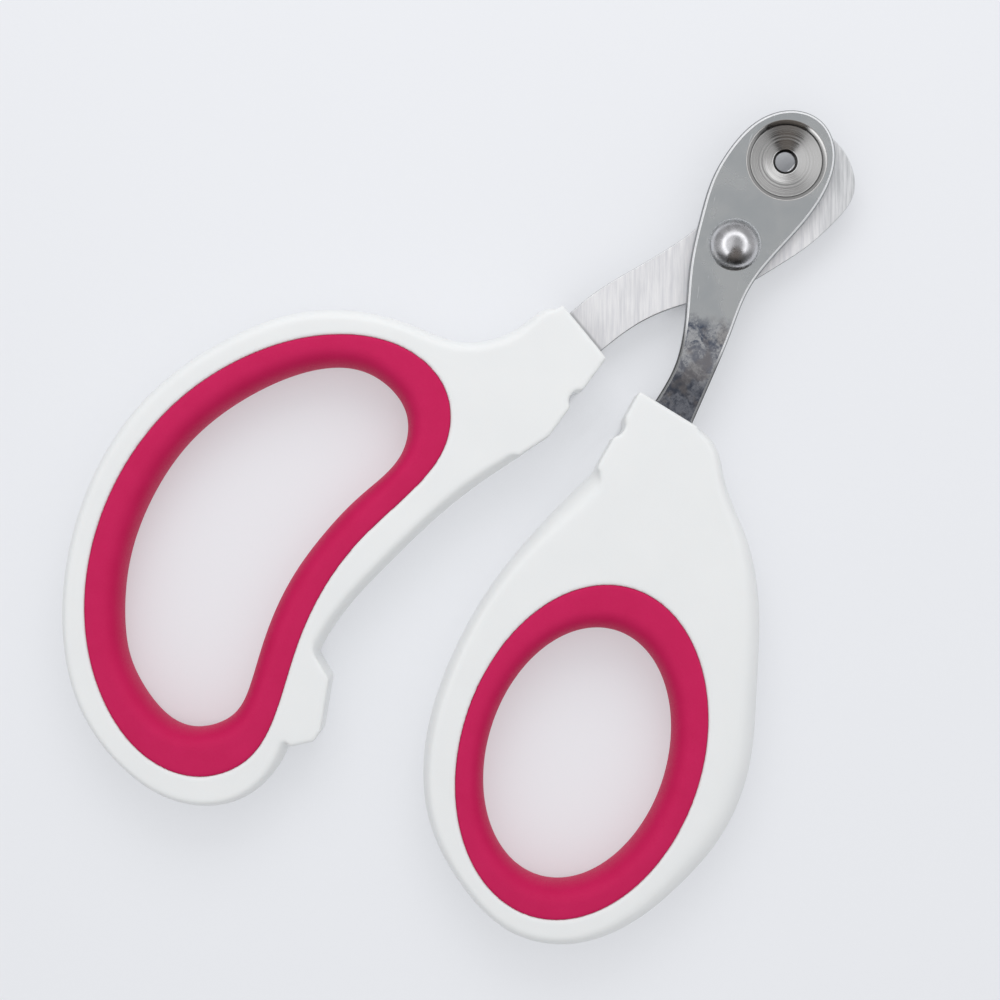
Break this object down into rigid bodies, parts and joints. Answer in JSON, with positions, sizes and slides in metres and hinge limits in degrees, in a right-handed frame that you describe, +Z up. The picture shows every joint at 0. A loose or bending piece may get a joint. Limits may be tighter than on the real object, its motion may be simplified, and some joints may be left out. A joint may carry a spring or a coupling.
{
  "type": "pet nail trimmer",
  "caption": "Scissor-type pet nail trimmer: a ring blade with a dished nail hole over a notched cutting blade, on a rivet, with looped handles and soft grips.",
  "frame": {"origin": "under the middle of the part's box, on the surface that the trimmer lies on, with the blades open as stored", "axes": "+Z up through the thickness, +Y from the handles to the blade head, +X to the side of the thumb loop"},
  "size_m": [0.1094, 0.1414, 0.01],
  "materials": {
    "polished_steel": "polished stainless steel",
    "brushed_steel": "cross-ground stainless steel",
    "rivet_steel": "bright formed steel",
    "washer_steel": "plain steel",
    "white_plastic": "satin moulded plastic",
    "magenta_rubber": "matt soft-touch rubber"
  },
  "bodies": {
    "right_half": {"upper_blade": "polished_steel", "right_handle": "white_plastic", "right_grip": "magenta_rubber", "pivot_rivet": "rivet_steel", "rivet_washer": "washer_steel"},
    "left_half": {"lower_blade": "brushed_steel", "left_handle": "white_plastic", "left_grip": "magenta_rubber"}
  },
  "joints": [
    {"name": "pivot_hinge", "type": "hinge", "parent": "right_half", "child": "left_half", "pos_m": [0.00208, 0.04797, 0.005], "axis": [0, 0, 1], "range_deg": [-45, 10.9]}
  ]
}
